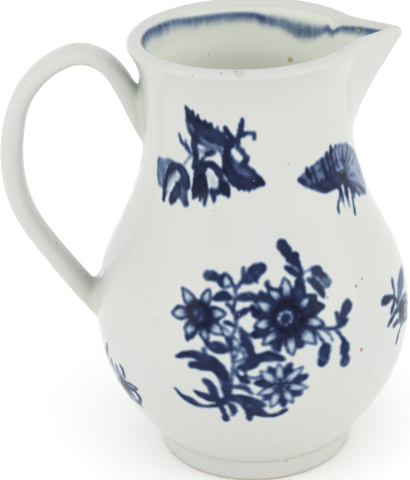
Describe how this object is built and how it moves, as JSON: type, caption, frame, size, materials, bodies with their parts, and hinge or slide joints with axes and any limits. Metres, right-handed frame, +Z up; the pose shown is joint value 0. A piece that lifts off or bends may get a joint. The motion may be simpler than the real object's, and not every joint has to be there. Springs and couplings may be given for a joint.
{
  "type": "cream jug",
  "caption": "Small baluster cream jug of white porcelain with a pointed beak, a loop handle, a low foot ring and blue flower sprays under the glaze.",
  "frame": {"origin": "centre of the foot ring's resting edge", "axes": "+Z up out of the mouth, +X towards the beak, the handle on the -X side, the XZ plane is the plane of symmetry"},
  "size_m": [0.0817, 0.0644, 0.09],
  "materials": {
    "glazed_porcelain": "glossy",
    "foot_porcelain": "glossy, bare along the resting edge",
    "luting_slip": "glossy"
  },
  "bodies": {
    "root": {"body": "glazed_porcelain", "foot_ring": "foot_porcelain", "beak": "glazed_porcelain", "beak_slip": "luting_slip", "handle": "glazed_porcelain", "upper_handle_slip": "luting_slip", "lower_handle_slip": "luting_slip"}
  },
  "joints": []
}
